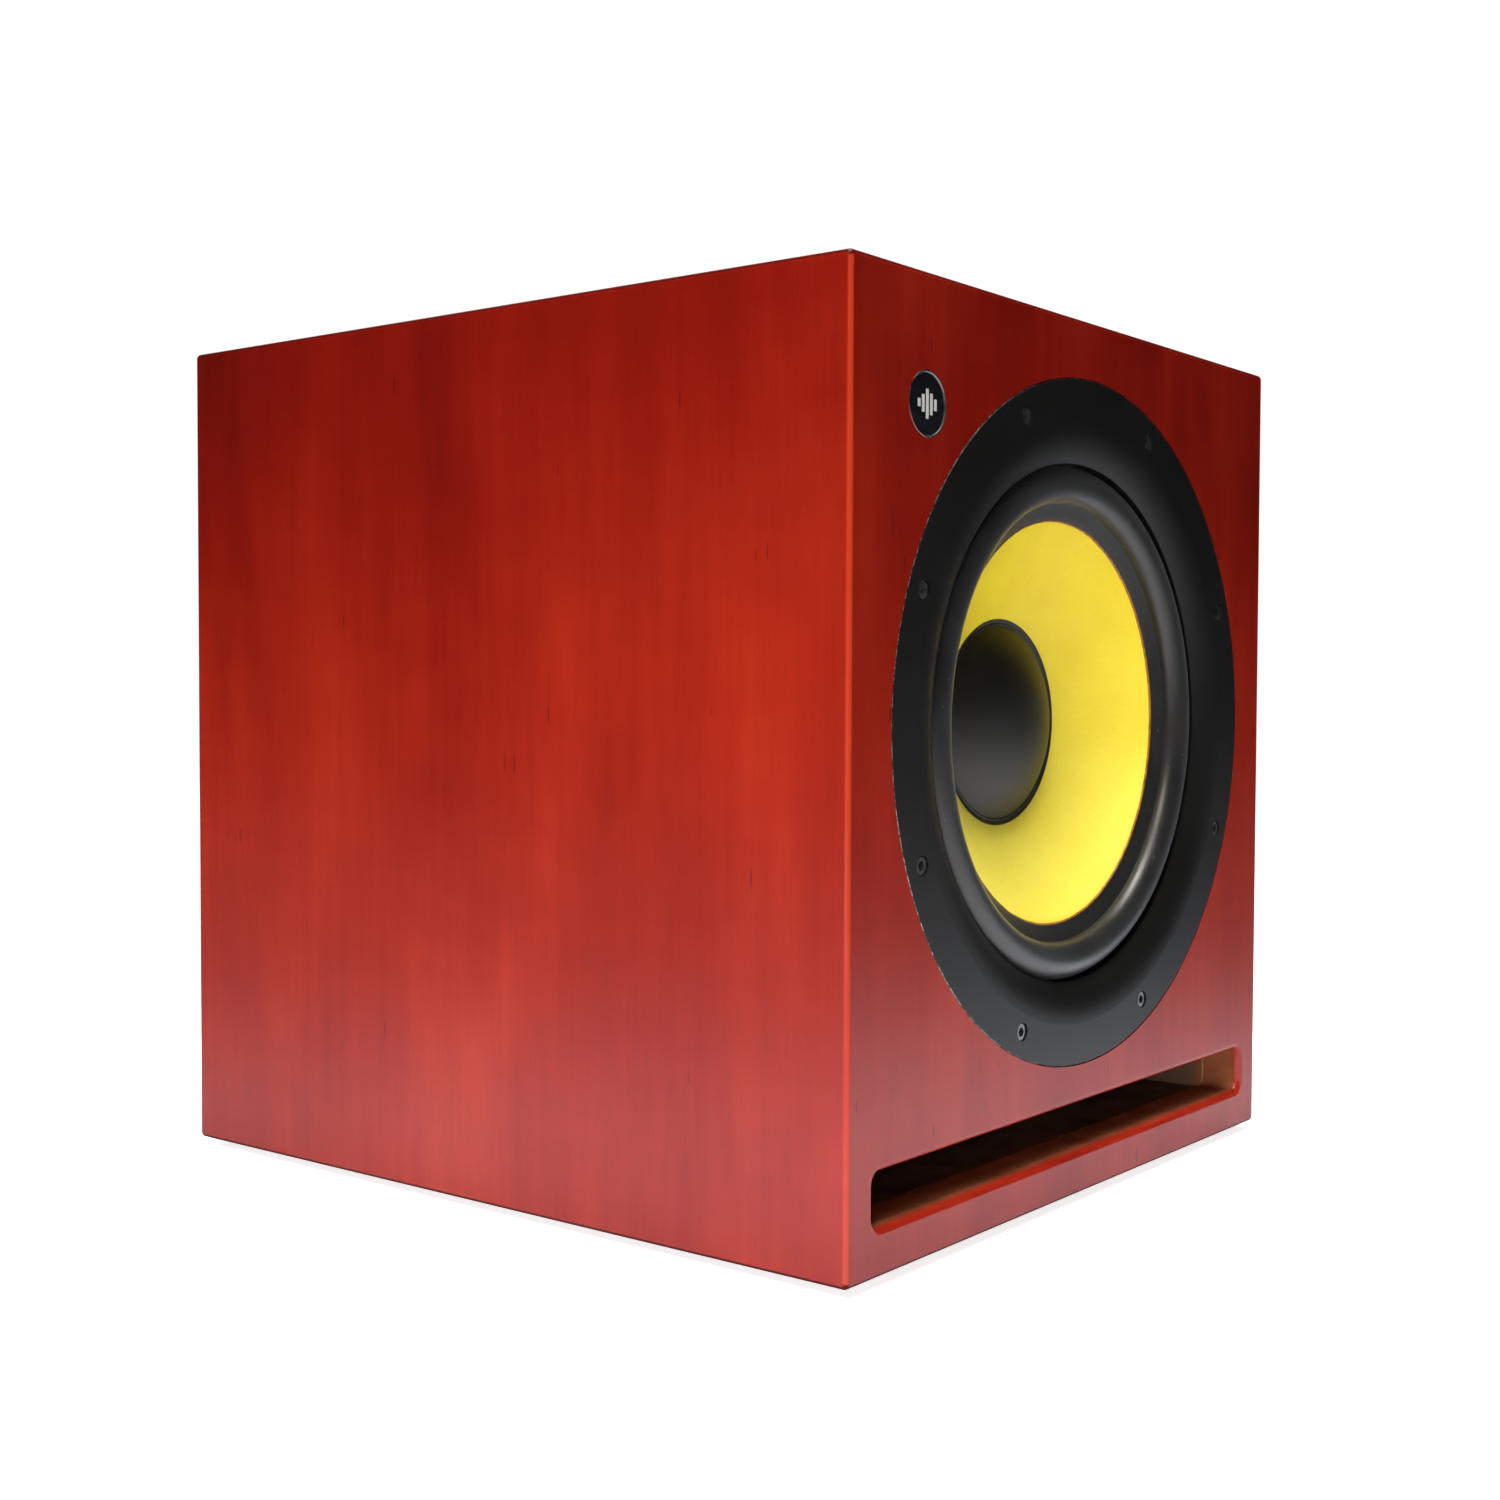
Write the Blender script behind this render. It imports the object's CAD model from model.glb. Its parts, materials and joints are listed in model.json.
import json
import math

import bmesh
import bpy
from mathutils import Matrix, Vector, noise


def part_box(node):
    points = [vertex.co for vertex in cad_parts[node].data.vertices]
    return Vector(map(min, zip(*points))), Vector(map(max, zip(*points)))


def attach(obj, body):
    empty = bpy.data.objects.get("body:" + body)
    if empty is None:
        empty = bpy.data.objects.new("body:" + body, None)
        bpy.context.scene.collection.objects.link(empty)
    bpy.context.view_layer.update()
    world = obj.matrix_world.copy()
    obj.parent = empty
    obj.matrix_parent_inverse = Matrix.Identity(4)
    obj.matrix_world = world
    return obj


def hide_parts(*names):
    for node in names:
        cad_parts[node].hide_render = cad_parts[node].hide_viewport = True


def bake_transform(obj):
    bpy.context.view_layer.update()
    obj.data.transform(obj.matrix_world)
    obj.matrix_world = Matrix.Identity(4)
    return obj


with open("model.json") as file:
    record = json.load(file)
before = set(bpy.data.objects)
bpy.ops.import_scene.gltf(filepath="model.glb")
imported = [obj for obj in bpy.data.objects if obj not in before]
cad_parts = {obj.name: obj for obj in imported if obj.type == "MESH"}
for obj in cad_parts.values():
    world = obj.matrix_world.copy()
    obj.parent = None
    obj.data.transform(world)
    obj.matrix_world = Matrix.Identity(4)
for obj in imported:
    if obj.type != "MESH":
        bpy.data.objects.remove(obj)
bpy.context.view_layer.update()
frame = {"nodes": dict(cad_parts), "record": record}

# An active studio subwoofer in cherry veneer. Metres, in the frame of the CAD model.
# +Z is up and the front faces -Y. A driver profile is a list of (radius, depth
# behind the front plane) in millimetres.

MM = 0.001
nodes = frame["nodes"]
slot_of = {part["node"]: part["material_slot"] for part in frame["record"]["subparts"]}

flange_low, flange_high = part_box("driver_gasket")
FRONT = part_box("front_baffle")[0].y
DRIVER_HEIGHT = (flange_low.z + flange_high.z) / 2
PLATE_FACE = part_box("amp_plate")[1].y

# --------------------------------------------------------------------------
# Camera, floor and light
# --------------------------------------------------------------------------

scene = bpy.context.scene
scene.view_settings.view_transform = "Standard"

CAMERA_PLACE = Vector((-0.77113, -0.65265, 0.23837))
CAMERA_YAW = math.radians(53.33766)
CAMERA_PITCH = math.radians(-1.94735)
CAMERA_ROLL = math.radians(0.29914)


def make_camera():
    """The camera at the viewing angle: low, off the front left corner."""
    lens = bpy.data.cameras.new("camera")
    lens.lens = 45.8263
    lens.sensor_width = 36.0
    lens.shift_x = -0.0608037
    lens.shift_y = -0.000522
    lens.clip_start = 0.01
    lens.clip_end = 50.0
    camera = bpy.data.objects.new("camera", lens)
    scene.collection.objects.link(camera)
    level = math.cos(CAMERA_PITCH)
    ahead = Vector((math.sin(CAMERA_YAW) * level, math.cos(CAMERA_YAW) * level, math.sin(CAMERA_PITCH)))
    right = Vector((math.cos(CAMERA_YAW), -math.sin(CAMERA_YAW), 0.0))
    up = right.cross(ahead)
    turned_right = right * math.cos(CAMERA_ROLL) + up * math.sin(CAMERA_ROLL)
    turned_up = up * math.cos(CAMERA_ROLL) - right * math.sin(CAMERA_ROLL)
    camera.matrix_world = Matrix(
        (
            (turned_right.x, turned_up.x, -ahead.x, CAMERA_PLACE.x),
            (turned_right.y, turned_up.y, -ahead.y, CAMERA_PLACE.y),
            (turned_right.z, turned_up.z, -ahead.z, CAMERA_PLACE.z),
            (0.0, 0.0, 0.0, 1.0),
        )
    )
    scene.camera = camera


def area_light(name, place, aim, width, height, watts, spread, colour, glare):
    """A soft rectangular light that points at a place; without glare, gloss doesn't mirror it."""
    lamp = bpy.data.lights.new(name, "AREA")
    lamp.shape = "RECTANGLE"
    lamp.size = width
    lamp.size_y = height
    lamp.energy = watts
    lamp.spread = math.radians(spread)
    lamp.color = colour
    light = bpy.data.objects.new(name, lamp)
    light.location = place
    light.rotation_euler = (Vector(aim) - Vector(place)).to_track_quat("-Z", "Y").to_euler()
    light.visible_glossy = glare
    scene.collection.objects.link(light)


def make_world():
    """A white backdrop for the camera and a dim room for everything else."""
    world = bpy.data.worlds.new("studio")
    world.use_nodes = True
    tree = world.node_tree
    tree.nodes.clear()
    path = tree.nodes.new("ShaderNodeLightPath")
    seen = tree.nodes.new("ShaderNodeBackground")
    seen.inputs["Color"].default_value = (1.0, 1.0, 1.0, 1.0)
    seen.inputs["Strength"].default_value = 1.0
    room = tree.nodes.new("ShaderNodeBackground")
    room.inputs["Color"].default_value = (0.9, 0.95, 1.0, 1.0)
    room.inputs["Strength"].default_value = 0.012
    chosen = tree.nodes.new("ShaderNodeMixShader")
    output = tree.nodes.new("ShaderNodeOutputWorld")
    tree.links.new(path.outputs["Is Camera Ray"], chosen.inputs["Fac"])
    tree.links.new(room.outputs[0], chosen.inputs[1])
    tree.links.new(seen.outputs[0], chosen.inputs[2])
    tree.links.new(chosen.outputs[0], output.inputs["Surface"])
    scene.world = world


def make_floor():
    """A wide plain white floor."""
    mesh = bpy.data.meshes.new("floor")
    half = 4.0
    corners = [(-half, -half, 0), (half, -half, 0), (half, half, 0), (-half, half, 0)]
    mesh.from_pydata(corners, [], [(0, 1, 2, 3)])
    floor = bpy.data.objects.new("floor", mesh)
    scene.collection.objects.link(floor)
    material = bpy.data.materials.new("floor_white")
    material.use_nodes = True
    tree = material.node_tree
    surface = tree.nodes["Principled BSDF"]
    surface.inputs["Base Color"].default_value = (0.82, 0.86, 0.94, 1.0)
    surface.inputs["Roughness"].default_value = 0.9
    surface.inputs["Specular IOR Level"].default_value = 0.1
    path = tree.nodes.new("ShaderNodeLightPath")
    glow = tree.nodes.new("ShaderNodeEmission")
    place = tree.nodes.new("ShaderNodeTexCoord")
    away = tree.nodes.new("ShaderNodeVectorMath")
    away.operation = "LENGTH"
    fade = tree.nodes.new("ShaderNodeMapRange")
    for field, value in (("From Min", 0.5), ("From Max", 1.1), ("To Min", 0.80), ("To Max", 1.0)):
        fade.inputs[field].default_value = value
    tree.links.new(place.outputs["Object"], away.inputs[0])
    tree.links.new(away.outputs["Value"], fade.inputs["Value"])
    tree.links.new(fade.outputs["Result"], glow.inputs["Strength"])
    added = tree.nodes.new("ShaderNodeAddShader")
    chosen = tree.nodes.new("ShaderNodeMixShader")
    output = tree.nodes["Material Output"]
    tree.links.new(surface.outputs[0], added.inputs[0])
    tree.links.new(glow.outputs[0], added.inputs[1])
    tree.links.new(path.outputs["Is Camera Ray"], chosen.inputs["Fac"])
    tree.links.new(surface.outputs[0], chosen.inputs[1])
    tree.links.new(added.outputs[0], chosen.inputs[2])
    tree.links.new(chosen.outputs[0], output.inputs["Surface"])
    mesh.materials.append(material)


make_camera()
make_world()
make_floor()
# name, place, aim, width, height, watts, spread, colour, glare
LIGHTS = (
    ("key_low", (-1.6, -0.5, 0.15), (0.0, -0.1, 0.1), 1.2, 0.25, 16.5, 180.0, (1.0, 0.98, 0.96), False),
    ("key_high", (-1.95, -0.8, 2.2), (0.0, -0.1, 0.2), 1.0, 1.0, 48.0, 180.0, (1.0, 0.99, 0.97), True),
    ("overhead", (-0.1, -0.2, 1.5), (-0.1, -0.2, 0.0), 0.8, 0.8, 10.0, 60.0, (0.95, 0.98, 1.0), True),
    ("rear_fill", (1.4, 2.4, 1.8), (0.0, 0.0, 0.2), 1.6, 1.6, 34.0, 180.0, (1.0, 1.0, 1.0), True),
)
for light in LIGHTS:
    area_light(*light)

# --------------------------------------------------------------------------
# Materials
# --------------------------------------------------------------------------


class Shader:
    """One material; every input takes a plain value or another node's output."""

    def __init__(self, name):
        self.material = bpy.data.materials.new(name)
        self.material.use_nodes = True
        self.tree = self.material.node_tree
        self.surface = self.tree.nodes["Principled BSDF"]
        coordinates = self.tree.nodes.new("ShaderNodeTexCoord")
        self.place = coordinates.outputs["Object"]
        self.normal = coordinates.outputs["Normal"]

    def feed(self, socket, value):
        if isinstance(value, bpy.types.NodeSocket):
            self.tree.links.new(value, socket)
        else:
            socket.default_value = value

    def node(self, kind, inputs, **settings):
        made = self.tree.nodes.new(kind)
        for key, value in settings.items():
            setattr(made, key, value)
        for key, value in inputs.items():
            self.feed(made.inputs[key], value)
        return made

    def split(self, vector):
        return self.node("ShaderNodeSeparateXYZ", {0: vector}).outputs

    def join(self, x, y, z):
        return self.node("ShaderNodeCombineXYZ", {0: x, 1: y, 2: z}).outputs[0]

    def maths(self, operation, a, b=0.0, clamp=False):
        return self.node("ShaderNodeMath", {0: a, 1: b}, operation=operation, use_clamp=clamp).outputs[0]

    def scaled(self, vector, scale, move=(0.0, 0.0, 0.0)):
        return self.node("ShaderNodeMapping", {"Vector": vector, "Scale": scale, "Location": move}).outputs[0]

    def noise(self, vector, scale, detail=2.0, roughness=0.5, distortion=0.0):
        inputs = {"Vector": vector, "Scale": scale, "Detail": detail}
        inputs.update({"Roughness": roughness, "Distortion": distortion})
        return self.node("ShaderNodeTexNoise", inputs).outputs[0]

    def cells(self, vector, scale, feature="F1"):
        inputs = {"Vector": vector, "Scale": scale}
        return self.node("ShaderNodeTexVoronoi", inputs, feature=feature).outputs["Distance"]

    def waves(self, vector, scale, distortion=0.0, direction="X"):
        inputs = {"Vector": vector, "Scale": scale, "Distortion": distortion}
        return self.node("ShaderNodeTexWave", inputs, bands_direction=direction).outputs["Fac"]

    def remap(self, value, low, high, start=0.0, end=1.0, smooth=True):
        inputs = {"Value": value, "From Min": low, "From Max": high, "To Min": start, "To Max": end}
        kind = "SMOOTHSTEP" if smooth else "LINEAR"
        return self.node("ShaderNodeMapRange", inputs, interpolation_type=kind).outputs["Result"]

    def ramp(self, value, stops):
        made = self.node("ShaderNodeValToRGB", {0: value})
        points = made.color_ramp.elements
        while len(points) < len(stops):
            points.new(0.5)
        for point, (where, colour) in zip(points, stops):
            point.position = where
            point.color = (*colour, 1.0)
        return made.outputs["Color"]

    def blend(self, share, a, b, mode="MIX"):
        a, b = (c if isinstance(c, bpy.types.NodeSocket) else (*c, 1.0) for c in (a, b))
        made = self.node("ShaderNodeMix", {0: share, 6: a, 7: b}, data_type="RGBA", blend_type=mode)
        return made.outputs[2]

    def blend_vector(self, share, a, b):
        return self.node("ShaderNodeMix", {0: share, 4: a, 5: b}, data_type="VECTOR").outputs[1]

    def bump(self, height, distance, strength=1.0, below=None):
        inputs = {"Height": height, "Distance": distance, "Strength": strength}
        if below is not None:
            inputs["Normal"] = below
        return self.node("ShaderNodeBump", inputs).outputs["Normal"]

    def finish(self, **inputs):
        """Set the surface's own sockets; underscores stand for spaces."""
        for key, value in inputs.items():
            socket = self.surface.inputs[key.replace("_", " ")]
            self.feed(socket, (*value, 1.0) if isinstance(value, tuple) and len(value) == 3 else value)
        return self.material

    def polar(self):
        """Radius and angle about the driver's axis."""
        x, _, z = self.split(self.place)[:3]
        up = self.maths("SUBTRACT", z, DRIVER_HEIGHT)
        square = self.maths("ADD", self.maths("MULTIPLY", x, x), self.maths("MULTIPLY", up, up))
        return self.maths("SQRT", square), self.maths("ARCTAN2", up, x)


# the tint of the gloss on the driver's black pieces
WARM_GLOSS = (1.0, 0.91, 0.80)


def board_colour(shader):
    """Fibreboard: stained brown in the port's mouth, blackened behind it, tan further in."""
    speckle = shader.noise(shader.place, 900.0, 3.0, 0.7)
    cloud = shader.noise(shader.place, 35.0, 3.0)
    tan = shader.ramp(speckle, [(0.3, (0.30, 0.18, 0.09)), (0.7, (0.46, 0.31, 0.18))])
    stained = shader.ramp(cloud, [(0.3, (0.19, 0.054, 0.023)), (0.7, (0.33, 0.110, 0.050))])
    blackened = shader.ramp(cloud, [(0.3, (0.085, 0.048, 0.030)), (0.7, (0.170, 0.096, 0.060))])
    _, y, z = shader.split(shader.place)[:3]
    mouth = shader.remap(y, FRONT + 21.5 * MM, FRONT + 30.0 * MM)
    clean = shader.maths("MAXIMUM", shader.remap(y, -0.06, 0.06), shader.remap(z, 0.050, 0.057))
    return shader.blend(clean, shader.blend(mouth, stained, blackened), tan)


def cherry_veneer():
    """Cherry-red stained veneer under satin lacquer; bare board on the inner faces."""
    s = Shader("cherry_veneer")
    x, y, z = s.split(s.place)[:3]
    nx, ny, nz = (s.maths("ABSOLUTE", n) for n in s.split(s.normal)[:3])
    level = s.maths("GREATER_THAN", nz, 0.7)

    def along_grain(across, along, move):
        upright = s.scaled(s.place, (across, across, along), move)
        lying = s.scaled(s.place, (across, along, across), move)
        return s.blend_vector(level, upright, lying)

    clouds = s.noise(along_grain(1.0, 0.22, (3.1, 1.7, 0.4)), 21.0, 3.0, 0.55, 0.4)
    patches = s.noise(along_grain(1.0, 0.5, (0.2, 5.3, 2.2)), 9.5, 2.0, 0.5, 0.3)
    streaks = s.noise(along_grain(1.0, 0.05, (1.3, 0.6, 4.1)), 115.0, 4.0, 0.6, 0.15)
    fibres = s.noise(along_grain(1.0, 0.02, (2.3, 3.6, 0.1)), 850.0, 2.0, 0.6)
    figure = s.noise(along_grain(0.35, 1.0, (0.7, 0.9, 1.9)), 60.0, 2.0, 0.5)
    tone = s.maths("ADD", s.maths("MULTIPLY", clouds, 0.42), s.maths("MULTIPLY", patches, 0.66))
    tone = s.maths("ADD", tone, s.maths("MULTIPLY", streaks, 0.20))
    tone = s.maths("ADD", tone, s.maths("MULTIPLY", fibres, 0.10))
    tone = s.maths("ADD", tone, s.maths("MULTIPLY", figure, 0.10))
    # the stain is deeper towards the top, most of all at the back
    high = s.remap(z, 0.16, 0.43)
    rearward = s.remap(y, -0.05, 0.22, 0.32, 0.50)
    tone = s.maths("SUBTRACT", tone, s.maths("MULTIPLY", high, rearward))
    wood = s.ramp(
        tone,
        [
            (0.06, (0.070, 0.0024, 0.0014)),
            (0.44, (0.150, 0.0050, 0.0022)),
            (0.74, (0.235, 0.0120, 0.0042)),
            (1.0, (0.320, 0.0230, 0.0075)),
        ],
    )
    # short dark pores and a few resin flecks along the grain
    pores = s.noise(along_grain(1.0, 0.035, (4.4, 2.1, 0.9)), 1500.0, 1.0)
    wood = s.blend(s.remap(pores, 0.66, 0.76, 0.0, 0.22), wood, (0.06, 0.004, 0.003))
    flecks = s.noise(along_grain(1.0, 0.09, (7.7, 0.3, 3.9)), 520.0, 0.0)
    wood = s.blend(s.remap(flecks, 0.845, 0.87, 0.0, 0.7), wood, (0.035, 0.004, 0.003))
    flattest = s.maths("MAXIMUM", s.maths("MAXIMUM", nx, ny), nz)
    edge = s.remap(flattest, 0.99, 0.90)

    # how far a point lies under the box's outer faces
    box_low, box_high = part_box("left_side_panel")
    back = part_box("rear_panel")[1].y
    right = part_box("right_side_panel")[1].x
    under_side = s.maths("MINIMUM", s.maths("SUBTRACT", x, box_low.x), s.maths("SUBTRACT", right, x))
    under_front = s.maths("MINIMUM", s.maths("SUBTRACT", y, FRONT), s.maths("SUBTRACT", back, y))
    under_top = s.maths("MINIMUM", s.maths("SUBTRACT", z, box_low.z), s.maths("SUBTRACT", box_high.z, z))
    depth = s.maths("MINIMUM", s.maths("MINIMUM", under_side, under_front), under_top)
    bare = s.remap(depth, 1.3 * MM, 6.0 * MM)
    level_edge = s.maths("MULTIPLY", edge, s.remap(under_top, 3.0 * MM, 2.0 * MM))
    upright_edge = s.maths("SUBTRACT", edge, level_edge, True)
    worn_edge = s.maths("MULTIPLY", upright_edge, s.remap(under_side, 4.0 * MM, 3.0 * MM))
    # lacquer thins on the rounded edges but gathers on the level ones
    wood = s.blend(s.maths("MULTIPLY", worn_edge, 0.45), wood, (0.52, 0.050, 0.016))
    wood = s.blend(s.maths("MULTIPLY", level_edge, 0.85), wood, (0.035, 0.003, 0.002))
    colour = s.blend(bare, wood, board_colour(s))

    relief = s.maths("ADD", s.maths("MULTIPLY", streaks, 0.5), s.maths("MULTIPLY", fibres, 0.5))
    ripple = s.noise(s.place, 18.0, 1.0)
    surface = s.bump(relief, 0.00004, 0.35)
    surface = s.bump(ripple, 0.0006, 0.25, surface)
    lacquer = s.remap(bare, 0.0, 1.0, 0.55, 0.1)
    return s.finish(
        Base_Color=colour,
        Roughness=s.remap(bare, 0.0, 1.0, 0.5, 0.9),
        Normal=surface,
        Specular_IOR_Level=0.0,
        Coat_Weight=s.maths("MULTIPLY", lacquer, s.remap(level_edge, 0.0, 1.0, 1.0, 0.25)),
        Coat_Roughness=0.2,
        Coat_IOR=1.5,
    )


def bare_board():
    """Raw fibreboard with a fuzzy cut surface."""
    s = Shader("bare_board")
    fuzz = s.noise(s.place, 2200.0, 3.0, 0.7)
    return s.finish(
        Base_Color=board_colour(s),
        Roughness=s.remap(fuzz, 0.2, 0.8, 0.75, 0.95),
        Normal=s.bump(fuzz, 0.00012, 0.6),
        Specular_IOR_Level=0.25,
    )


def satin_black_metal():
    """Satin black paint on the cast ring, rubbed bright along its thin outer edge."""
    s = Shader("satin_black_metal")
    radius, _ = s.polar()
    peel = s.noise(s.place, 1400.0, 2.0, 0.6)
    cloud = s.noise(s.place, 14.0, 3.0)
    paint = s.ramp(cloud, [(0.3, (0.0028, 0.0026, 0.0024)), (0.7, (0.0050, 0.0047, 0.0044))])
    wear = s.noise(s.place, 320.0, 3.0, 0.7)
    rubbed = s.maths("MULTIPLY", s.remap(radius, 0.15617, 0.15626), s.remap(wear, 0.44, 0.62))
    return s.finish(
        Base_Color=s.blend(rubbed, paint, (0.30, 0.28, 0.26)),
        Metallic=s.maths("MULTIPLY", rubbed, 0.9),
        Roughness=s.remap(peel, 0.2, 0.8, 0.36, 0.46),
        Specular_IOR_Level=0.28,
        Specular_Tint=WARM_GLOSS,
        Normal=s.bump(peel, 0.00003, 0.5),
    )


def surround_rubber():
    """Smooth moulded rubber with a faint bloom and specks of dust."""
    s = Shader("surround_rubber")
    radius, _ = s.polar()
    bloom = s.noise(s.place, 30.0, 4.0, 0.6)
    grain = s.noise(s.place, 2600.0, 2.0, 0.6)
    dust = s.noise(s.place, 700.0, 0.0)
    rubber = s.ramp(bloom, [(0.3, (0.0050, 0.0049, 0.0050)), (0.7, (0.0092, 0.0090, 0.0090))])
    rubber = s.blend(s.remap(dust, 0.84, 0.87, 0.0, 0.35), rubber, (0.22, 0.22, 0.20))
    rings = s.waves(s.join(radius, 0.0, 0.0), 160.0)
    relief = s.maths("ADD", s.maths("MULTIPLY", grain, 0.4), s.maths("MULTIPLY", rings, 0.1))
    return s.finish(
        Base_Color=rubber,
        Roughness=s.remap(bloom, 0.2, 0.8, 0.30, 0.42),
        Normal=s.bump(relief, 0.00003, 0.6),
        Sheen_Weight=0.05,
        Specular_Tint=WARM_GLOSS,
    )


def yellow_cone():
    """Satin yellow composite with a faint fibre texture."""
    s = Shader("yellow_cone")
    radius, angle = s.polar()
    spokes = s.join(s.maths("MULTIPLY", radius, 40.0), s.maths("MULTIPLY", angle, 9.0), 0.0)
    brushed = s.noise(spokes, 6.0, 3.0, 0.6)
    fibre = s.noise(s.place, 1800.0, 3.0, 0.65)
    cloud = s.noise(s.place, 22.0, 3.0)
    tone = s.maths("ADD", s.maths("MULTIPLY", cloud, 0.6), s.maths("MULTIPLY", brushed, 0.25))
    tone = s.maths("ADD", tone, s.maths("MULTIPLY", fibre, 0.15))
    fresh = s.ramp(tone, [(0.3, (0.72, 0.50, 0.012)), (0.7, (0.82, 0.62, 0.022))])
    faded = s.ramp(tone, [(0.3, (0.82, 0.64, 0.062)), (0.7, (0.92, 0.78, 0.110))])
    height = s.split(s.place)[2]
    share = s.remap(height, DRIVER_HEIGHT - 0.09, DRIVER_HEIGHT + 0.08)
    return s.finish(
        Base_Color=s.blend(share, faded, fresh),
        Roughness=s.remap(fibre, 0.2, 0.8, 0.36, 0.48),
        Specular_IOR_Level=0.16,
        Normal=s.bump(fibre, 0.00003, 0.6),
    )


def cap_black():
    """Matt black pressed fibre."""
    s = Shader("cap_black")
    fibre = s.noise(s.place, 1500.0, 3.0, 0.7)
    cloud = s.noise(s.place, 25.0, 3.0)
    return s.finish(
        Base_Color=s.ramp(cloud, [(0.3, (0.0046, 0.0045, 0.0043)), (0.7, (0.0074, 0.0072, 0.0069))]),
        Roughness=s.remap(fibre, 0.2, 0.8, 0.44, 0.56),
        Specular_Tint=WARM_GLOSS,
        Normal=s.bump(fibre, 0.00004, 0.6),
    )


def glue(name, dark, light):
    """A bead of dried glue."""
    s = Shader(name)
    cloud = s.noise(s.place, 260.0, 3.0)
    return s.finish(
        Base_Color=s.ramp(cloud, [(0.3, dark), (0.7, light)]),
        Roughness=s.remap(cloud, 0.2, 0.8, 0.3, 0.5),
        Normal=s.bump(cloud, 0.0002, 0.6),
    )


def coating(name, dark, light, rough, grain, depth, metallic=0.0, **constants):
    """Paint, moulded plastic or rubber: two tones, a grain and its own relief."""
    s = Shader(name)
    cloud = s.noise(s.place, 40.0, 4.0, 0.6)
    fine = s.noise(s.place, grain, 3.0, 0.65)
    tone = s.maths("ADD", s.maths("MULTIPLY", cloud, 0.6), s.maths("MULTIPLY", fine, 0.4))
    return s.finish(
        Base_Color=s.ramp(tone, [(0.32, dark), (0.68, light)]),
        Roughness=s.remap(fine, 0.2, 0.8, rough - 0.06, rough + 0.06),
        Normal=s.bump(fine, depth, 0.7),
        Metallic=metallic,
        **constants,
    )


def brushed_metal(name, dark, light, rough, stretch=(1.0, 1.0, 0.05)):
    """Plated or drawn metal with fine lines one way."""
    s = Shader(name)
    lines = s.noise(s.scaled(s.place, stretch), 2400.0, 3.0, 0.7)
    stain = s.noise(s.place, 60.0, 4.0, 0.6)
    tone = s.maths("ADD", s.maths("MULTIPLY", lines, 0.4), s.maths("MULTIPLY", stain, 0.6))
    return s.finish(
        Base_Color=s.ramp(tone, [(0.3, dark), (0.7, light)]),
        Metallic=1.0,
        Roughness=s.remap(tone, 0.2, 0.8, rough - 0.08, rough + 0.1),
        Normal=s.bump(lines, 0.00002, 0.4),
    )


def cross_woven(name, dark, light, pitch, depth, rough=0.85):
    """Cloth or braid: two sets of threads that cross, in an uneven tone."""
    s = Shader(name)
    x, y, z = s.split(s.place)[:3]
    first = s.waves(s.join(s.maths("ADD", x, y), 0.0, 0.0), 1.0 / pitch, 0.4)
    second = s.waves(s.join(s.maths("SUBTRACT", z, y), 0.0, 0.0), 1.0 / pitch, 0.4)
    weave = s.maths("MAXIMUM", first, second)
    cloud = s.noise(s.place, 45.0, 4.0, 0.6)
    tone = s.maths("ADD", s.maths("MULTIPLY", weave, 0.5), s.maths("MULTIPLY", cloud, 0.5))
    return s.finish(
        Base_Color=s.ramp(tone, [(0.25, dark), (0.8, light)]),
        Roughness=rough,
        Normal=s.bump(weave, depth, 0.8),
        Sheen_Weight=0.2,
    )


def damping_wool():
    """Felted white polyester wool."""
    s = Shader("damping_wool")
    tangle = s.noise(s.scaled(s.place, (1.0, 1.0, 1.6)), 420.0, 5.0, 0.75, 1.2)
    tufts = s.noise(s.place, 60.0, 3.0, 0.6)
    tone = s.maths("ADD", s.maths("MULTIPLY", tangle, 0.6), s.maths("MULTIPLY", tufts, 0.4))
    return s.finish(
        Base_Color=s.ramp(tone, [(0.3, (0.46, 0.45, 0.41)), (0.7, (0.80, 0.79, 0.75))]),
        Roughness=0.95,
        Normal=s.bump(tone, 0.0012, 0.8),
        Sheen_Weight=0.4,
    )


def circuit_board():
    """Green solder mask with the shadow of tracks beneath it."""
    s = Shader("circuit_board")
    tracks = s.cells(s.place, 180.0, "DISTANCE_TO_EDGE")
    cloud = s.noise(s.place, 50.0, 3.0)
    mask = s.ramp(cloud, [(0.3, (0.010, 0.115, 0.035)), (0.7, (0.020, 0.180, 0.060))])
    return s.finish(
        Base_Color=s.blend(s.remap(tracks, 0.03, 0.05, 0.5, 0.0), mask, (0.05, 0.32, 0.12)),
        Roughness=s.remap(cloud, 0.2, 0.8, 0.25, 0.4),
        Normal=s.bump(tracks, 0.00004, 0.5),
    )


def winding(name, dark, light, turns, rough=0.35):
    """Wire or tape laid in even turns about an axis along Y."""
    s = Shader(name)
    x, y, z = s.split(s.place)[:3]
    turn = s.waves(s.join(s.maths("ARCTAN2", z, x), y, 0.0), turns, 0.5, "Y")
    cloud = s.noise(s.place, 90.0, 3.0)
    tone = s.maths("ADD", s.maths("MULTIPLY", turn, 0.5), s.maths("MULTIPLY", cloud, 0.5))
    return s.finish(
        Base_Color=s.ramp(tone, [(0.2, dark), (0.8, light)]),
        Roughness=s.remap(cloud, 0.2, 0.8, rough - 0.08, rough + 0.08),
        Normal=s.bump(turn, 0.00012, 0.7),
    )


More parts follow.
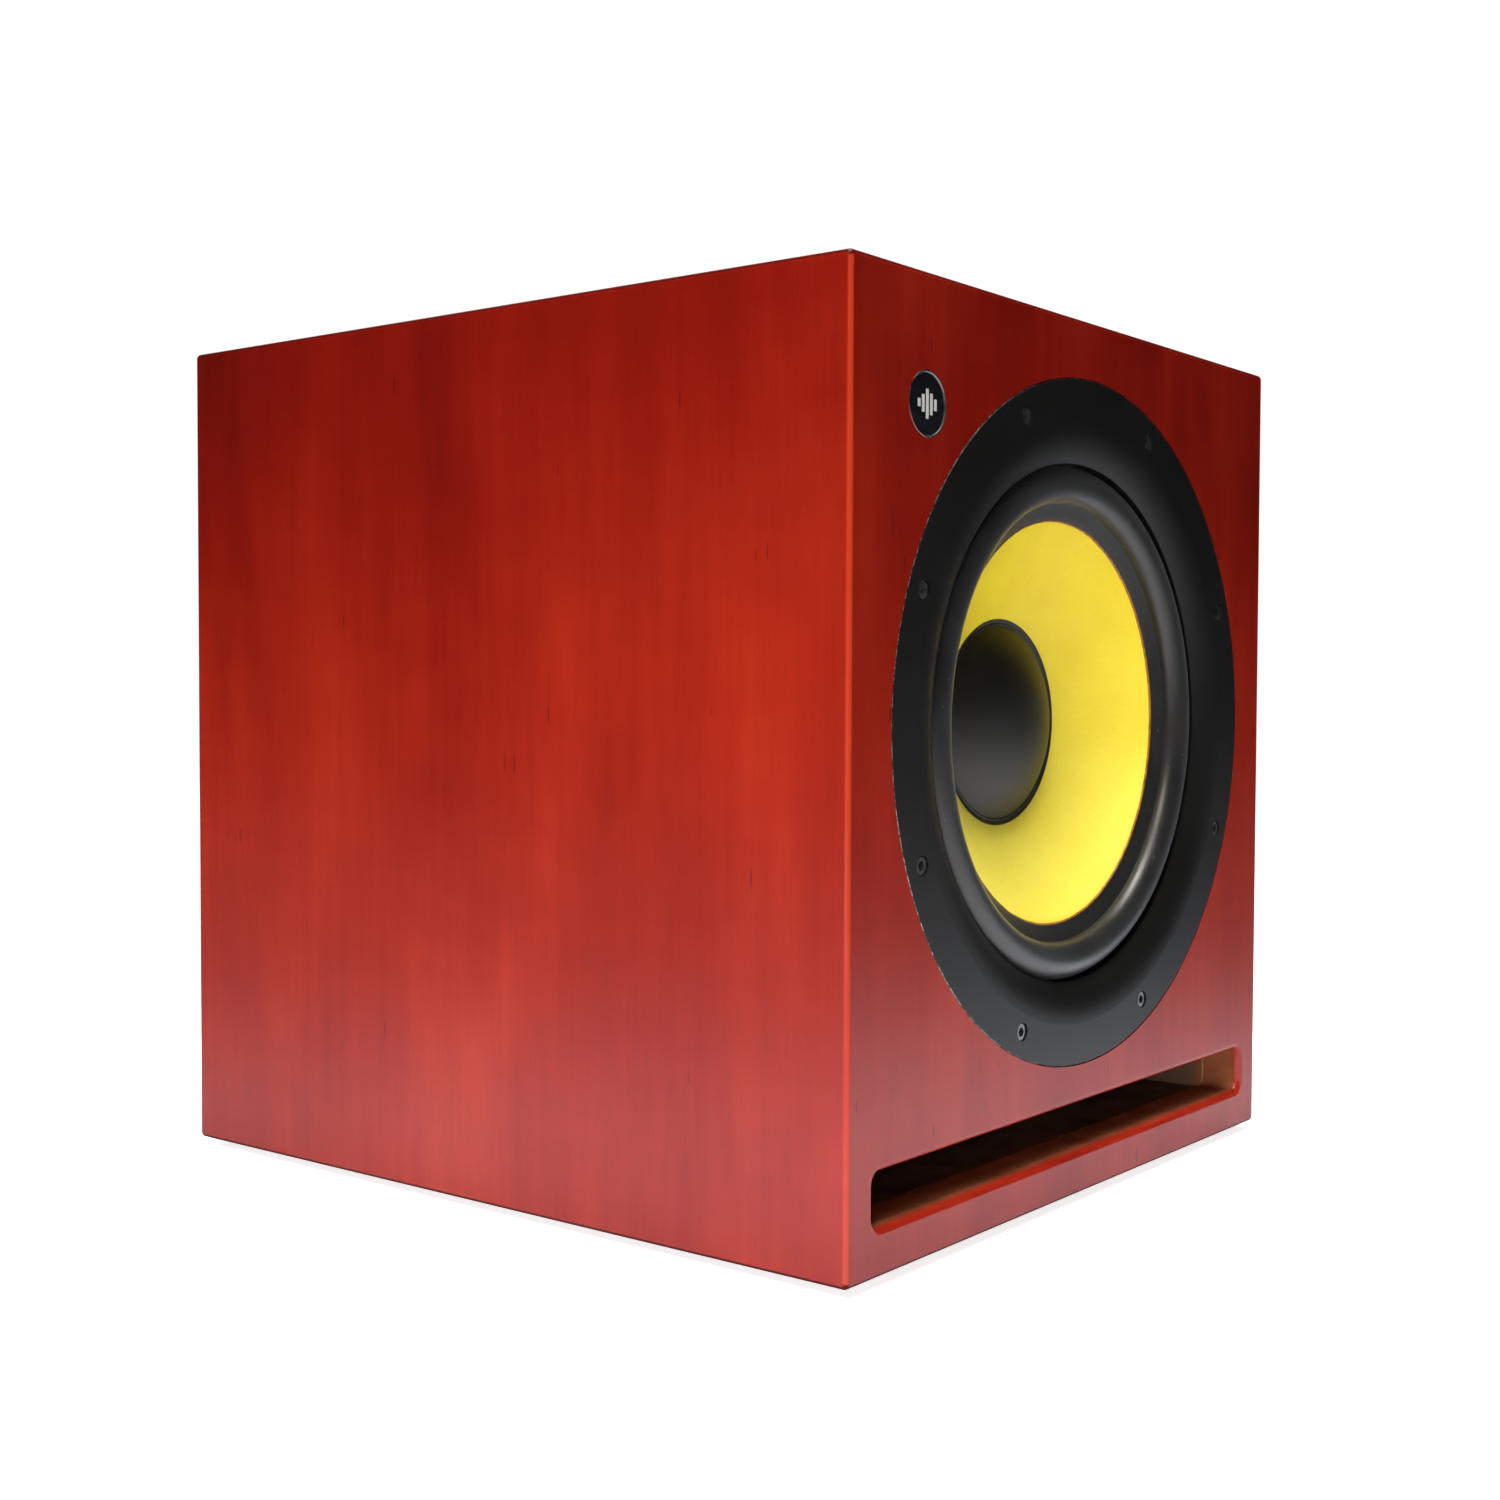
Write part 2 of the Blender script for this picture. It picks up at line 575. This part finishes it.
def lamp_lens():
    """A green lens with a faint glow."""
    s = Shader("lamp_lens")
    facets = s.cells(s.place, 1600.0)
    return s.finish(
        Base_Color=s.ramp(facets, [(0.0, (0.05, 0.55, 0.12)), (1.0, (0.12, 0.85, 0.25))]),
        Roughness=0.15,
        Normal=s.bump(facets, 0.00005, 0.5),
        Transmission_Weight=0.35,
        Emission_Color=(0.1, 1.0, 0.25),
        Emission_Strength=0.4,
    )


materials = {
    "cherry_veneer": cherry_veneer(),
    "bare_board": bare_board(),
    "satin_black_metal": satin_black_metal(),
    "textured_black_metal": coating(
        "textured_black_metal", (0.010, 0.010, 0.011), (0.020, 0.020, 0.021), 0.55, 1500.0, 0.00012
    ),
    "black_steel": coating(
        "black_steel", (0.085, 0.083, 0.079), (0.22, 0.215, 0.205), 0.19, 1200.0, 0.00003, metallic=0.85
    ),
    "zinc_steel": brushed_metal("zinc_steel", (0.42, 0.42, 0.40), (0.66, 0.66, 0.62), 0.36),
    "surround_rubber": surround_rubber(),
    "foot_rubber": coating(
        "foot_rubber", (0.010, 0.010, 0.010), (0.022, 0.022, 0.022), 0.75, 900.0, 0.0001
    ),
    "gasket_foam": coating(
        "gasket_foam", (0.012, 0.012, 0.012), (0.040, 0.040, 0.040), 0.92, 1600.0, 0.0004
    ),
    "damping_wool": damping_wool(),
    "yellow_cone": yellow_cone(),
    "cap_black": cap_black(),
    "spider_cloth": cross_woven(
        "spider_cloth", (0.26, 0.16, 0.05), (0.52, 0.36, 0.15), 0.0009, 0.00012
    ),
    "kapton": coating(
        "kapton", (0.30, 0.10, 0.015), (0.46, 0.18, 0.03), 0.25, 500.0, 0.00002, Coat_Weight=0.4
    ),
    "copper_wire": winding("copper_wire", (0.32, 0.10, 0.04), (0.70, 0.28, 0.12), 1500.0, 0.3),
    "braid": cross_woven("braid", (0.30, 0.17, 0.09), (0.78, 0.56, 0.36), 0.0005, 0.0001, 0.4),
    "ferrite": coating("ferrite", (0.030, 0.030, 0.033), (0.075, 0.075, 0.080), 0.6, 1100.0, 0.0001),
    "badge_gloss": coating(
        "badge_gloss", (0.004, 0.004, 0.005), (0.008, 0.008, 0.009), 0.14, 300.0, 0.00001, Coat_Weight=0.5
    ),
    "badge_metal": coating(
        "badge_metal", (0.52, 0.49, 0.46), (0.78, 0.75, 0.71), 0.36, 1500.0, 0.00001, metallic=0.35
    ),
    "anodised_black": brushed_metal(
        "anodised_black", (0.016, 0.016, 0.018), (0.040, 0.040, 0.043), 0.42
    ),
    "terminal_board": coating(
        "terminal_board", (0.22, 0.12, 0.05), (0.38, 0.24, 0.11), 0.55, 800.0, 0.00006
    ),
    "circuit_board": circuit_board(),
    "capacitor_sleeve": coating(
        "capacitor_sleeve", (0.012, 0.018, 0.090), (0.030, 0.040, 0.170), 0.3, 400.0, 0.00003, Coat_Weight=0.3
    ),
    "transformer_wrap": winding("transformer_wrap", (0.42, 0.27, 0.03), (0.82, 0.62, 0.12), 260.0),
    "black_plastic": coating(
        "black_plastic", (0.011, 0.011, 0.012), (0.026, 0.026, 0.028), 0.5, 1400.0, 0.00006
    ),
    "knob_plastic": coating(
        "knob_plastic", (0.013, 0.013, 0.014), (0.028, 0.028, 0.030), 0.62, 1700.0, 0.00004
    ),
    "lamp_lens": lamp_lens(),
    "cable_sheath": coating(
        "cable_sheath", (0.20, 0.010, 0.010), (0.34, 0.022, 0.018), 0.4, 700.0, 0.00003
    ),
    "nickel": brushed_metal("nickel", (0.50, 0.48, 0.44), (0.78, 0.76, 0.71), 0.26),
}
dark_sheath = coating("dark_sheath", (0.010, 0.010, 0.011), (0.024, 0.024, 0.026), 0.4, 700.0, 0.00003)
edge_glue = glue("edge_glue", (0.16, 0.045, 0.004), (0.42, 0.16, 0.008))
cap_glue = glue("cap_glue", (0.006, 0.006, 0.006), (0.014, 0.014, 0.014))
board_glue = glue("board_glue", (0.28, 0.13, 0.040), (0.48, 0.26, 0.095))
rim_metal = brushed_metal("rim_metal", (0.16, 0.15, 0.15), (0.34, 0.32, 0.31), 0.30)
print_ink = coating("print_ink", (0.60, 0.60, 0.58), (0.78, 0.78, 0.76), 0.6, 2200.0, 0.00001)

for label, node in nodes.items():
    node.material_slots[0].material = materials[slot_of[label]]
nodes["badge_rim"].material_slots[0].material = rim_metal

# --------------------------------------------------------------------------
# Building helpers
# --------------------------------------------------------------------------


def new_piece(name, points, faces, material):
    """A smooth mesh piece with its vertices in the shared frame."""
    mesh = bpy.data.meshes.new(name)
    mesh.from_pydata(points, [], faces)
    mesh.validate()
    mesh.polygons.foreach_set("use_smooth", [True] * len(mesh.polygons))
    mesh.materials.append(material)
    piece = bpy.data.objects.new(name, mesh)
    scene.collection.objects.link(piece)
    shape = bmesh.new()
    shape.from_mesh(mesh)
    bmesh.ops.recalc_face_normals(shape, faces=shape.faces)
    shape.to_mesh(mesh)
    shape.free()
    return piece


def sharpen(piece, angle=32.0):
    """Keep edges steeper than this angle crisp."""
    piece.data.set_sharp_from_angle(angle=math.radians(angle))
    return piece


def arc(start, end, rise, steps):
    """Points of an arc that bulges towards smaller depth, between two points at one depth."""
    start, end = Vector(start), Vector(end)
    half = (end - start).length / 2
    radius = (half * half + rise * rise) / (2 * rise)
    middle = (start + end) / 2
    out = Vector((0.0, -1.0))
    centre = middle - out * (radius - rise)
    first = math.atan2(start.y - centre.y, start.x - centre.x)
    last = math.atan2(end.y - centre.y, end.x - centre.x)
    if last > first:
        last -= 2 * math.pi
    if last < first - 1.5 * math.pi:
        last += 2 * math.pi
    angles = [first + (last - first) * n / steps for n in range(steps + 1)]
    return [(centre.x + radius * math.cos(a), centre.y + radius * math.sin(a)) for a in angles]


def turned(name, profile, material, steps=288):
    """Turn a closed profile about the driver's axis."""
    count = len(profile)
    points = []
    for n in range(steps):
        turn = 2 * math.pi * n / steps
        for radius, depth in profile:
            x, z = radius * MM * math.cos(turn), radius * MM * math.sin(turn)
            points.append((x, FRONT + depth * MM, DRIVER_HEIGHT + z))
    faces = []
    for n in range(steps):
        here, there = n * count, (n + 1) % steps * count
        for k in range(count):
            after = (k + 1) % count
            faces.append((here + k, there + k, there + after, here + after))
    return new_piece(name, points, faces, material)


def weigh(piece, weight_of):
    """Share each point between the cabinet and the cone by its own place."""
    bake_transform(piece)
    weights = [weight_of(vertex.co) for vertex in piece.data.vertices]


def ease(t):
    """A smooth step from 0 to 1."""
    t = min(1.0, max(0.0, t))
    return t * t * (3 - 2 * t)


def off_axis(point):
    """Distance from the driver's axis in millimetres."""
    return math.hypot(point.x, point.z - DRIVER_HEIGHT) / MM


# --------------------------------------------------------------------------
# Cords
# --------------------------------------------------------------------------

CONE_EDGE = 93.5
CONE_EDGE_DEPTH = 17.4
CONE_NECK = 26.0
CONE_WALL = 1.5
CAP_RADIUS = 47.0
CAP_DEPTH = 49.2
CONE_SLOPE = (CAP_DEPTH - CONE_EDGE_DEPTH) / (CONE_EDGE - CAP_RADIUS)


def cone_depth(radius):
    """Depth of the cone's front face."""
    return CONE_EDGE_DEPTH + (CONE_EDGE - radius) * CONE_SLOPE


def smooth_line(name, route):
    """A smooth curve led by a route's points, in millimetres."""
    curve = bpy.data.curves.new(name, "CURVE")
    curve.dimensions = "3D"
    spline = curve.splines.new("NURBS")
    spline.points.add(len(route) - 1)
    for point, place in zip(spline.points, route):
        point.co = (*(value * MM for value in place), 1.0)
    spline.order_u = 3
    spline.use_endpoint_u = True
    spline.resolution_u = 12
    line = bpy.data.objects.new(name, curve)
    scene.collection.objects.link(line)
    return line


def line_points(line):
    """The points of a curve that has no bevel."""
    mesh = bpy.data.meshes.new_from_object(line.evaluated_get(bpy.context.evaluated_depsgraph_get()))
    points = [vertex.co.copy() for vertex in mesh.vertices]
    bpy.data.meshes.remove(mesh)
    return points


WIRE_RADIUS = 1.6
LEAD_RADIUS = 0.7
TERMINAL_TOP = 95.85
LANDING_DEPTH = 38.946


def speaker_wires():
    """The pair of wires from the amplifier's board to the driver's terminals."""
    finishes = (materials["cable_sheath"], dark_sheath)
    for name, x, finish in zip(("speaker_wire_plus", "speaker_wire_minus"), (-8.0, -3.8), finishes):
        route = [
            (x, 166.0, 227.2),
            (x, 118.0, 227.2),
            (x, 74.0, 221.0),
            (x, 28.0, 195.0),
            (x, -14.0, 157.0),
            (x, -52.0, 121.0),
            (x, -92.0, 100.35),
            (x, -138.0, 93.35),
            (x, -184.0, 93.35),
        ]
        wire = smooth_line(name, route)
        wire.data.bevel_depth = WIRE_RADIUS * MM
        wire.data.bevel_resolution = 6
        wire.data.use_fill_caps = True
        wire.data.materials.append(finish)
        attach(wire, "cabinet")
        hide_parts("speaker_cable")


def tube_points(path, radius, sides, side=(1.0, 0.0, 0.0)):
    """Rings of points round a path that lies square to side, and the faces between them."""
    rings, faces = [], []
    side = Vector(side)
    for n, here in enumerate(path):
        along = (path[min(n + 1, len(path) - 1)] - path[max(n - 1, 0)]).normalized()
        up = along.cross(side).normalized()
        for k in range(sides):
            turn = 2 * math.pi * k / sides
            rings.append(here + side * radius * math.cos(turn) + up * radius * math.sin(turn))
    for n in range(len(path) - 1):
        for k in range(sides):
            after = (k + 1) % sides
            faces.append((n * sides + k, n * sides + after, (n + 1) * sides + after, (n + 1) * sides + k))
    faces.append(tuple(range(sides)))
    faces.append(tuple(range((len(path) - 1) * sides, len(path) * sides)))
    return rings, faces


def tinsel_leads():
    """The two braided leads that flex between the terminal strip and the cone."""
    face, axis = FRONT / MM, DRIVER_HEIGHT / MM
    top = TERMINAL_TOP
    landing = face + LANDING_DEPTH + CONE_WALL
    for name, x in (("tinsel_lead_left", -9.0), ("tinsel_lead_right", 9.0)):
        route = [
            (x, face + 30, top),
            (x, face + 31, top + 6),
            (x, face + 38, top + 13),
            (x, face + 45, top + 23),
            (x, face + 49, axis - 88),
            (x, face + 48, axis - 76),
            (x, landing + 3.5, axis - 66),
            (x, landing + 0.9, axis - 62),
        ]
        line = smooth_line(name + "_line", route)
        path = line_points(line)
        bpy.data.objects.remove(line)
        points, faces = tube_points(path, LEAD_RADIUS * MM, 14)
        lead = sharpen(new_piece(name, points, faces, materials["braid"]), 60.0)
        lengths = [0.0]
        for before, here in zip(path, path[1:]):
            lengths.append(lengths[-1] + (here - before).length)

        def share(point):
            nearest = min(range(len(path)), key=lambda n: (path[n] - point).length)
            return ease(lengths[nearest] / lengths[-1])

        weigh(lead, share)
        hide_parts("tinsel_leads")


speaker_wires()
tinsel_leads()

# --------------------------------------------------------------------------
# Port mouth and amplifier print
# --------------------------------------------------------------------------


def duct_glue():
    """Glue squeezed out behind the baffle: down the duct's right wall and along its floor."""
    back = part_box("front_baffle")[1].y / MM + 0.4
    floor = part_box("bottom_panel")[1].z / MM
    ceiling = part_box("port_shelf")[0].z / MM
    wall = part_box("right_side_panel")[0].x / MM
    down = [(wall, back, floor + (ceiling - floor) * n / 8) for n in range(8, 1, -1)]
    along = [(wall * (1 - 2 * n / 60), back, floor + 0.9) for n in range(1, 60)]
    line = smooth_line("duct_glue_line", down + [(wall - 0.6, back, floor + 1.6)] + along)
    points, faces = tube_points(line_points(line), 0.8 * MM, 10, (0.0, 1.0, 0.0))
    bpy.data.objects.remove(line)
    bead = new_piece("duct_glue", points, faces, board_glue)
    corner = Vector((wall, back, floor)) * MM
    for vertex in bead.data.vertices:
        blob = ease(1 - (vertex.co - corner).length / (9.0 * MM))
        swell = noise.noise(vertex.co * 240.0) * 0.35 + noise.noise(vertex.co * 70.0) * 0.3 + blob * 0.7
        vertex.co += vertex.normal * swell * MM
    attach(bead, "cabinet")


def printed_bar(centre, turn, near, far, width, behind, ahead):
    """Points and faces of a thin round-ended bar that points outwards at a turn about a centre."""
    steps, outline = 6, []
    for end, start in ((far - width / 2, 0.0), (near + width / 2, math.pi)):
        for n in range(steps + 1):
            bend = start + math.pi * n / steps
            outline.append((width / 2 * math.cos(bend), end + width / 2 * math.sin(bend)))
    x, z = centre
    cosine, sine = math.cos(turn), math.sin(turn)
    points = []
    for y in (behind, ahead):
        for across, along in outline:
            right = x + across * cosine + along * sine
            up = z + along * cosine - across * sine
            points.append((right * MM, y * MM, up * MM))
    count = len(outline)
    faces = [tuple(range(count)), tuple(range(count, 2 * count))]
    faces += [(n, (n + 1) % count, (n + 1) % count + count, n + count) for n in range(count)]
    return points, faces


def dials():
    """A white pointer in each knob's groove and the scale printed round it."""
    face = PLATE_FACE / MM
    for name, knob in (("level", "level_knob"), ("crossover", "crossover_knob")):
        low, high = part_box(knob)
        centre = ((low.x + high.x) / 2 / MM, (low.z + high.z) / 2 / MM)
        tip = high.y / MM
        points, faces = printed_bar(centre, 0.0, 1.7, 6.7, 0.96, tip - 0.78, tip - 0.12)
        pointer = sharpen(new_piece(name + "_pointer", points, faces, print_ink))
        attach(pointer, name + "_control")
        points, faces = [], []
        for n in range(-5, 6):
            far = 13.0 if n in (-5, 0, 5) else 12.2
            turn = math.radians(30 * n)
            bar, bar_faces = printed_bar(centre, turn, 10.6, far, 0.45, face - 0.02, face + 0.05)
            faces += [tuple(corner + len(points) for corner in one) for one in bar_faces]
            points += bar
        scale = sharpen(new_piece(name + "_scale", points, faces, print_ink))
        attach(scale, "cabinet")


duct_glue()
dials()

# --------------------------------------------------------------------------
# Damping pads
# --------------------------------------------------------------------------


def box_mesh(low, high):
    """A plain block to start a pad from."""
    shape = bmesh.new()
    bmesh.ops.create_cube(shape, size=1.0)
    for corner in shape.verts:
        corner.co = [low[n] if corner.co[n] < 0 else high[n] for n in range(3)]
    mesh = bpy.data.meshes.new("pad_block")
    shape.to_mesh(mesh)
    shape.free()
    return mesh


def settled(piece):
    """The piece's mesh with its modifiers applied."""
    mesh = bpy.data.meshes.new_from_object(piece.evaluated_get(bpy.context.evaluated_depsgraph_get()))
    piece.modifiers.clear()
    piece.data = mesh
    return mesh


def inflate(piece, glued):
    """Let the wool swell for twenty frames while its glued face stays put."""
    group = piece.vertex_groups.new(name="glued")
    group.add(glued, 1.0, "REPLACE")
    cloth = piece.modifiers.new("swelling", "CLOTH")
    cloth.settings.use_pressure = True
    cloth.settings.uniform_pressure_force = 4.0
    cloth.settings.effector_weights.gravity = 0.0
    cloth.settings.vertex_group_mass = "glued"
    cloth.point_cache.frame_start = 1
    cloth.point_cache.frame_end = 20
    for frame_number in range(1, 21):
        scene.frame_set(frame_number)
    settled(piece)
    scene.frame_set(1)


def wool_pad(name, low, high, axis, wall, node):
    """A wool pad glued by one face to a panel; the rest crowns and pulls in at its sides."""
    margin, voxel, reach, skin = 5.5 * MM, 5.0 * MM, 8.0 * MM, 0.2 * MM
    start_low, start_high = [v + margin for v in low], [v - margin for v in high]
    (start_low if wall == low[axis] else start_high)[axis] = wall
    piece = bpy.data.objects.new(name, box_mesh(start_low, start_high))
    scene.collection.objects.link(piece)
    remesh = piece.modifiers.new("wool_mesh", "REMESH")
    remesh.mode = "VOXEL"
    remesh.voxel_size = voxel
    mesh = settled(piece)
    before = [vertex.co.copy() for vertex in mesh.vertices]
    glued = [n for n, place in enumerate(before) if abs(place[axis] - wall) < 0.6 * voxel]
    inflate(piece, glued)
    for vertex, place in zip(piece.data.vertices, before):
        move = vertex.co - place
        vertex.co = place + move * min(1.0, reach / max(move.length, 1e-9))
    subdivision = piece.modifiers.new("wool_subdivision", "SUBSURF")
    subdivision.levels = subdivision.render_levels = 1
    mesh = settled(piece)
    inside = wall + (skin if wall == low[axis] else -skin)
    for vertex in mesh.vertices:
        on_wall = abs(vertex.co[axis] - wall) < 0.6 * voxel
        tuft = noise.noise(vertex.co * 85.0) * 1.1 * MM + noise.noise(vertex.co * 260.0) * 0.5 * MM
        if not on_wall:
            vertex.co += vertex.normal * tuft
        vertex.co = [min(max(v, a + skin), b - skin) for v, a, b in zip(vertex.co, low, high)]
        if on_wall:
            vertex.co[axis] = inside
    mesh.polygons.foreach_set("use_smooth", [True] * len(mesh.polygons))
    mesh.materials.clear()
    mesh.materials.append(materials["damping_wool"])
    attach(piece, "cabinet")
    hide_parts(node)


def damping_pads():
    """One pad on each side panel and one under the top."""
    low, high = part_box("side_damping_pads")
    inner = -147.0 * MM
    wool_pad("side_pad_left", tuple(low), (inner, high.y, high.z), 0, low.x, "side_damping_pads")
    wool_pad("side_pad_right", (-inner, low.y, low.z), tuple(high), 0, high.x, "side_damping_pads")
    low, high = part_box("top_damping_pad")
    wool_pad("top_pad", tuple(low), tuple(high), 2, high.z, "top_damping_pad")


damping_pads()

# --------------------------------------------------------------------------
# Driver
# --------------------------------------------------------------------------


ROLL_OUTER = 118.3
ROLL_INNER = 101.3
ROLL_RISE = 6.8
SEAT = 11.3
RUBBER = 0.7


def surround():
    """The rubber half-roll, seated in the frame outside and glued to the cone inside."""
    back = SEAT + RUBBER
    outside = [(130.5, SEAT), (124.0, SEAT), (119.6, SEAT + 0.05)]
    crest = arc((ROLL_OUTER, SEAT), (ROLL_INNER, SEAT), ROLL_RISE, 40)
    inside = [(101.15, 12.4), (101.1, 13.3), (100.2, 13.78), (97.0, 15.2), (94.1, 16.5)]
    inside += [(93.55, 16.85), (CONE_EDGE, CONE_EDGE_DEPTH)]
    land = [(97.0, 16.0), (100.6, 14.4), (101.7, 14.1), (101.95, 12.4)]
    hollow = arc((ROLL_INNER + RUBBER, back), (ROLL_OUTER - RUBBER, back), ROLL_RISE, 40)
    seat = [(119.0, back), (124.0, back), (130.5, back)]
    profile = outside + crest + inside + land + hollow + seat
    piece = sharpen(turned("surround_roll", profile, materials["surround_rubber"]), 50.0)
    weigh(piece, lambda point: ease((ROLL_OUTER - off_axis(point)) / (ROLL_OUTER - ROLL_INNER)))
    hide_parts("surround")


def cone():
    """The straight yellow cone, its glue line and its big black cap."""
    front_face = [(101.6, 14.45), (97.5, 15.9)]
    radii = [CONE_EDGE - (CONE_EDGE - CONE_NECK) * n / 24 for n in range(25)]
    front_face += [(r, cone_depth(r)) for r in radii]
    back_face = [(r, cone_depth(r) + CONE_WALL) for r in reversed(radii)] + [(101.6, 15.6)]
    body = sharpen(turned("cone_body", front_face + back_face, materials["yellow_cone"]), 40.0)
    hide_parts("cone")

    slope = Vector((1.0, -CONE_SLOPE)).normalized()
    out = Vector((slope.y, -slope.x))
    edge = Vector((CONE_EDGE, CONE_EDGE_DEPTH - 0.3))
    turns = [k * math.pi / 5 for k in range(10)]
    bead = [edge + slope * 0.55 * math.cos(turn) + out * 0.42 * math.sin(turn) for turn in turns]
    glue_line = turned("cone_edge_glue", [tuple(point) for point in bead], edge_glue)
    for vertex in glue_line.data.vertices:
        middle = Vector((vertex.co.x, 0.0, vertex.co.z - DRIVER_HEIGHT)).normalized()
        swell = noise.noise(Vector((vertex.co.x, 0.0, vertex.co.z)) * 260.0) * 0.22 * MM
        vertex.co -= middle * (swell + 0.1 * MM)

    foot, tip = CAP_DEPTH, CAP_DEPTH - 17.0
    reach, rise = 45.6, 16.0
    crown = (reach * reach + rise * rise) / (2 * rise)
    sweep = math.asin(reach / crown)
    bends = [sweep * (1 - n / 30) for n in range(30)]
    dome = [(crown * math.sin(bend), tip + crown * (1 - math.cos(bend))) for bend in bends]
    rolled = [(46.9, foot - 0.1), (47.05, foot - 0.75), (46.8, foot - 1.25)]
    rolled += [(46.3, foot - 1.42), (45.9, foot - 1.3)]
    front_side = rolled + dome + [(0.05, tip)]
    back_side = [(0.05, foot - 16.1), (20.0, foot - 13.2), (36.0, foot - 6.8)]
    back_side += [(44.6, foot - 0.6), (45.2, foot + 1.05)]
    cap = sharpen(turned("dust_cap_dome", front_side + back_side, materials["cap_black"]), 60.0)
    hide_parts("dust_cap")

    fillet = [(46.6, foot - 0.5), (47.2, foot - 0.95), (48.1, foot - 1.1), (48.9, cone_depth(48.9) - 0.05)]
    fillet += [(48.9, cone_depth(48.9) + 0.2), (46.6, cone_depth(46.6) + 0.2)]
    cap_bead = sharpen(turned("dust_cap_bead", fillet, cap_glue), 60.0)
    for piece in (body, glue_line, cap, cap_bead):
        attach(piece, "cone_assembly")


def spider():
    """The corrugated cloth disc that centres the coil."""
    inner, outer, ledge = 26.0, 69.0, 80.0
    start, end, waves = 30.0, 58.0, 4
    radii = [inner + (outer - inner) * n / 96 for n in range(97)]

    def depth(radius):
        if not start < radius < end:
            return ledge
        fade = min(1.0, (radius - start) / 3.0, (end - radius) / 3.0)
        return ledge - 1.9 * fade * math.sin(2 * math.pi * waves * (radius - start) / (end - start))

    lower = [(r, depth(r)) for r in radii]
    upper = [(r, depth(r) - 0.8) for r in reversed(radii)]
    profile = lower + upper
    piece = sharpen(turned("spider_disc", profile, materials["spider_cloth"], steps=180), 60.0)
    weigh(piece, lambda point: ease((end + 4 - off_axis(point)) / (end + 4 - start)))
    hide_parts("spider")


surround()
cone()
spider()
